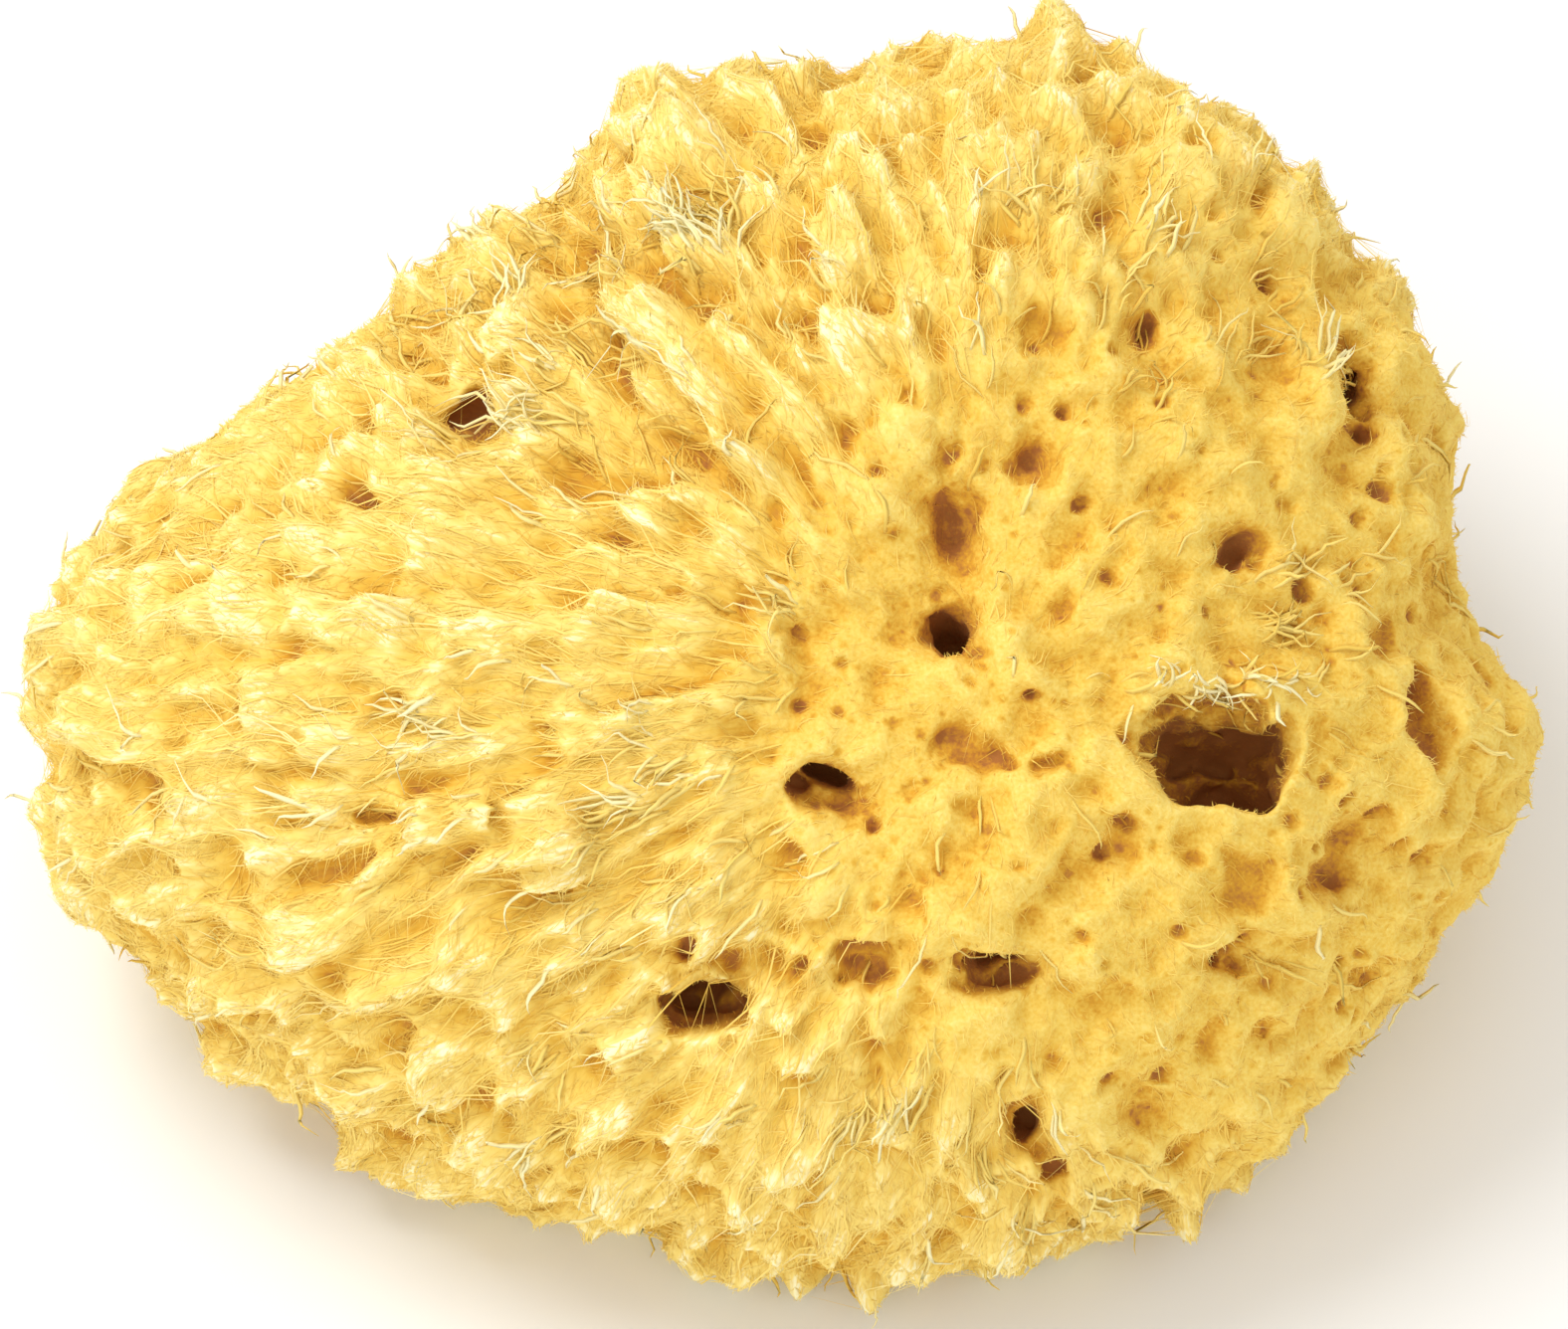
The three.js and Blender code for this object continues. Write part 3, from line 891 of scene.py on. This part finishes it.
def makeFibreTree():
    net, inputs = newTree("spongeFibres", fibreInputs)
    mesh = inputs["Geometry"]
    seed = inputs["Seed"]

    # one flat fibre and one round one, each a metre long, that keep their own across and along values
    strip = net.add("GeometryNodeMeshGrid", {"Size X": 1.0, "Size Y": 1.0, "Vertices X": 2})
    net.plug(strip.inputs["Vertices Y"], inputs["Rings"] + 1.0)
    own = net.position()
    onStrip = own * (1.0, 0.0, 0.0) + (own.dot((0.0, 1.0, 0.0)) + 0.5) * (0.0, 0.0, 1.0)
    stripMesh = net.store(net.wire(strip), "fibrePlace", onStrip, "FLOAT_VECTOR")
    rod = net.add("GeometryNodeMeshCone", {"Vertices": 3, "Depth": 1.0})
    for end in ["Radius Top", "Radius Bottom"]:
        rod.inputs[end].default_value = 0.5
    net.plug(rod.inputs["Side Segments"], inputs["Rings"])
    rodMesh = net.store(net.wire(rod), "fibrePlace", own, "FLOAT_VECTOR")
    chosen = net.add("GeometryNodeSwitch", input_type="GEOMETRY")
    net.plug(chosen.inputs["Switch"], inputs["Is Strand"])
    net.plug(chosen.inputs["False"], stripMesh)
    net.plug(chosen.inputs["True"], rodMesh)

    fleece = net.attribute("fleece")
    openness = net.attribute("openness")
    share = net.mix(inputs["On Skin"], inputs["On Fleece"], fleece) * openness.ramp(0.2, 0.5)
    share = share * net.attribute("crest").ramp(-1.6, -0.5, 0.25, 1.0)
    loose = strandShare(net, net.position() * 1000.0, inputs["At Mouth"])
    share = share * net.mix(1.0, loose * openness.ramp(0.35, 0.55), inputs["Is Strand"])
    clear = net.position().dot((0.0, 0.0, 1.0)).ramp(1.5 * mm, 6.0 * mm)
    spread = net.add("GeometryNodeDistributePointsOnFaces", {"Mesh": mesh, "Seed": seed})
    net.plug(spread.inputs["Density"], inputs["Density"] * share * clear)
    points = net.wire(spread, "Points")
    points = net.store(points, "rootNormal", net.wire(spread, "Normal"), "FLOAT_VECTOR")
    position = net.position()
    points = net.store(points, "root", position, "FLOAT_VECTOR")

    # the way a fibre lies: along the flow, pressed down to the surface, and its own way a little
    place = position * 1000.0
    normal = net.attribute("rootNormal", "FLOAT_VECTOR")
    around, along, reach, downFlow = alongGrowth(net, place)
    own = net.randomVector(seed + 1.0).unit() * inputs["Wander"]
    lying = combedWay(net, place, around, downFlow, normal) + own
    lying = (lying - normal * lying.dot(normal)).unit()
    crown = (place - faceMiddle).dot(faceUp).ramp(12.0, 45.0)
    atRim = 1.0 - net.calc("ABSOLUTE", normal.dot(faceOut)).ramp(0.0, 0.6)
    lift = inputs["Lift"] * (1.0 + crown * 2.0 + atRim * 1.5) * net.random(0.3, 1.7, seed + 2.0)
    flow = (lying + normal * lift).unit()
    inPlane = flow.cross(normal).unit()
    outPlane = inPlane.cross(flow)
    roll = net.random(-0.4, 0.4, seed + 3.0)
    turn = net.random(-3.14, 3.14, seed + 8.0)
    flat = inPlane * net.calc("COSINE", roll) + outPlane * net.calc("SINE", roll)
    aside = inPlane * net.calc("COSINE", turn) + outPlane * net.calc("SINE", turn)
    pull, chance = clumpOffset(net, place, around, along, reach)
    ahead = net.add("GeometryNodeSampleNearestSurface", {"Mesh": mesh}, data_type="FLOAT")
    net.plug(ahead.inputs["Value"], openness)
    net.plug(ahead.inputs["Sample Position"], position + flow * (inputs["Length"] * mm))
    clearAhead = net.wire(ahead).ramp(0.40, 0.62, 0.2, 1.0)
    long = inputs["Length"] * mm * (chance * 0.5 + net.random(0.5, 1.0, seed + 4.0))
    # painted shade and highlight from the root's openness and crest; fleece is the sponge's own paler colour,
    # clump and own are random tone
    look = fibreTone
    tone = openness * look["open"] + net.attribute("crest") * look["crest"]
    tone = tone + fleece * look["fleece"] + chance * look["clump"]
    own = net.random(-look["own"], look["own"], seed + 7.0)
    tone = tone * look["share"] + look["base"] + own + inputs["Tone"]
    ways = {"flow": flow, "flat": flat, "aside": aside, "pull": pull * (inputs["Clump"] * mm)}
    for name, value in ways.items():
        points = net.store(points, name, value, "FLOAT_VECTOR")
    measures = {
        "long": long * net.mix(clearAhead, 1.0, inputs["At Mouth"]),
        "wide": inputs["Width"] * mm * net.random(0.6, 1.3, seed + 5.0),
        "bend": inputs["Curl"] * net.random(-1.0, 1.0, seed + 6.0),
        "high": inputs["Height"] * mm * net.random(0.2, 1.8, seed + 9.0),
        "tone": tone.clamped(0.02, 0.97),
    }
    for name, value in measures.items():
        points = net.store(points, name, value)

    grown = net.add("GeometryNodeInstanceOnPoints", {"Points": points, "Instance": net.wire(chosen)})
    grown = net.add("GeometryNodeRealizeInstances", {"Geometry": net.wire(grown)})

    # an arc from the root that sways with its neighbours and joins its clump towards the tip
    parts = net.add("ShaderNodeSeparateXYZ", {"Vector": net.attribute("fibrePlace", "FLOAT_VECTOR")})
    tip = net.wire(parts, "Z")
    flow = net.attribute("flow", "FLOAT_VECTOR")
    root = net.attribute("root", "FLOAT_VECTOR")
    long = net.attribute("long")
    bend = net.attribute("bend") + 0.001
    turned = bend * tip
    arc = flow * (net.calc("SINE", turned) / bend)
    arc = arc + net.attribute("aside", "FLOAT_VECTOR") * ((1.0 - net.calc("COSINE", turned)) / bend)
    middle = root - net.attribute("rootNormal", "FLOAT_VECTOR") * (0.3 * mm) + arc * long
    sway = net.noise(middle * 1000.0, 3.2, 1.0, 0.5, out="Color") - (0.5, 0.5, 0.5)
    middle = middle + sway * (tip * inputs["Wave"] * (2.0 * mm))
    middle = middle + net.attribute("pull", "FLOAT_VECTOR") * (tip * tip)

    # most of it is pressed down on the felt below
    felted = net.add("GeometryNodeProximity", {"Geometry": mesh}, target_element="FACES")
    net.plug(felted.inputs["Sample Position"], middle)
    below = net.add("GeometryNodeSampleNearestSurface", {"Mesh": mesh}, data_type="FLOAT_VECTOR")
    net.plug(below.inputs["Value"], net.wire(net.add("GeometryNodeInputNormal")))
    net.plug(below.inputs["Sample Position"], middle)
    pressed = net.wire(felted, "Position") + net.wire(below) * (net.attribute("high") * (tip + 0.15))
    middle = net.mix(middle, pressed, inputs["Hug"])
    flat = net.attribute("flat", "FLOAT_VECTOR")
    across = flat * net.wire(parts, "X") + flow.cross(flat) * net.wire(parts, "Y")
    across = across * (net.attribute("wide") * ((1.0 - tip) * (tip + 0.25) * 2.6 + 0.2))
    shaped = net.add("GeometryNodeSetPosition", {"Geometry": net.wire(grown)})
    net.plug(shaped.inputs["Position"], net.calc("MAXIMUM", middle + across, (-1.0, -1.0, 0.1 * mm)))

    # the fibre's own map
    onMap = net.add("ShaderNodeCombineXYZ")
    net.plug(onMap.inputs["X"], net.attribute("tone") + net.wire(parts, "X") * 0.008)
    net.plug(onMap.inputs["Y"], tip * 0.9 + 0.05)
    mapped = net.store(net.wire(shaped), "OFBake", net.wire(onMap), "FLOAT2", "CORNER")
    for name in ["fibrePlace", "rootNormal", "root", *ways, *measures]:
        gone = net.add("GeometryNodeRemoveAttribute", {"Geometry": mapped})
        gone.inputs["Name"].default_value = name
        mapped = net.wire(gone)
    smooth = net.add("GeometryNodeSetShadeSmooth", {"Geometry": mapped, "Shade Smooth": True})
    return endTree(net, net.wire(smooth), fibreLook)


fibreTree = makeFibreTree()
bodyArea = sum(polygon.area for polygon in body.data.polygons)


def growFibres(kind):
    carrier = bpy.data.objects.new(kind["name"] + "_carrier", body.data)
    bpy.context.scene.collection.objects.link(carrier)
    onFleece, onSkin = kind["zone"]
    sizes = dict(isStrand=False, atMouth=False, onFleece=onFleece, onSkin=onSkin)
    sizes.update(kind, density=kind["count"] / bodyArea, seed=kind["seed"] * 100)
    addModifier(carrier, fibreTree, treeValues(sizes, fibreInputs))
    piece = settle(carrier, kind["name"])
    bpy.data.objects.remove(carrier)
    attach(piece, "root")
    print(kind["name"], "grown:", countTriangles(piece), "triangles")


for kind in fibreKinds:
    growFibres(kind)


# camera square to the face
def addCamera():
    data = bpy.data.cameras.new("camera")
    data.lens = faceView["lens"]
    data.sensor_width = faceView["sensor"]
    camera = bpy.data.objects.new("camera", data)
    camera.location = (faceMiddle + faceOut * cameraAway) * mm
    camera.rotation_euler = (math.radians(90) - tilt, 0, 0)
    data.clip_end = 10
    bpy.context.scene.collection.objects.link(camera)
    bpy.context.scene.camera = camera


def addFloor():
    mesh = bpy.data.meshes.new("floor")
    half = 3.0  # m
    corners = [(-half, -half, 0), (half, -half, 0), (half, half, 0), (-half, half, 0)]
    mesh.from_pydata(corners, [], [(0, 1, 2, 3)])
    floor = bpy.data.objects.new("floor", mesh)
    bpy.context.scene.collection.objects.link(floor)
    material, net, shader = newMaterial("paleFloor", 0.9, 0.0)
    place = net.wire(net.add("ShaderNodeTexCoord"), "Object")
    cloud = net.noise(place, 0.4, 2.0, 0.5)
    shade = net.add("ShaderNodeValToRGB", {"Fac": cloud})
    shade.color_ramp.elements[0].color = (0.90, 0.90, 0.89, 1)
    shade.color_ramp.elements[1].color = (0.93, 0.93, 0.92, 1)
    net.plug(shader.inputs["Base Color"], net.wire(shade))
    mesh.materials.append(material)


worldLight = 0.85
lights = [
    dict(name="key", place=(-0.38, 0.14, 0.85), size=0.5, watts=4.05),
    dict(name="fill", place=(-0.3, -0.75, 0.35), size=0.8, watts=1.45),
]


def addLights():
    for spec in lights:
        data = bpy.data.lights.new(spec["name"], "AREA")
        data.shape = "DISK"
        data.size = spec["size"]
        data.energy = spec["watts"]
        lamp = bpy.data.objects.new(spec["name"], data)
        lamp.location = spec["place"]
        aim = faceMiddle * mm - lamp.location
        lamp.rotation_euler = aim.to_track_quat("-Z", "Y").to_euler()
        bpy.context.scene.collection.objects.link(lamp)
    world = bpy.data.worlds.new("studio")
    world.use_nodes = True
    background = world.node_tree.nodes["Background"]
    background.inputs["Color"].default_value = (1, 1, 1, 1)
    background.inputs["Strength"].default_value = worldLight
    bpy.context.scene.world = world


addCamera()
addFloor()
addLights()
bpy.context.scene.view_settings.view_transform = "Standard"
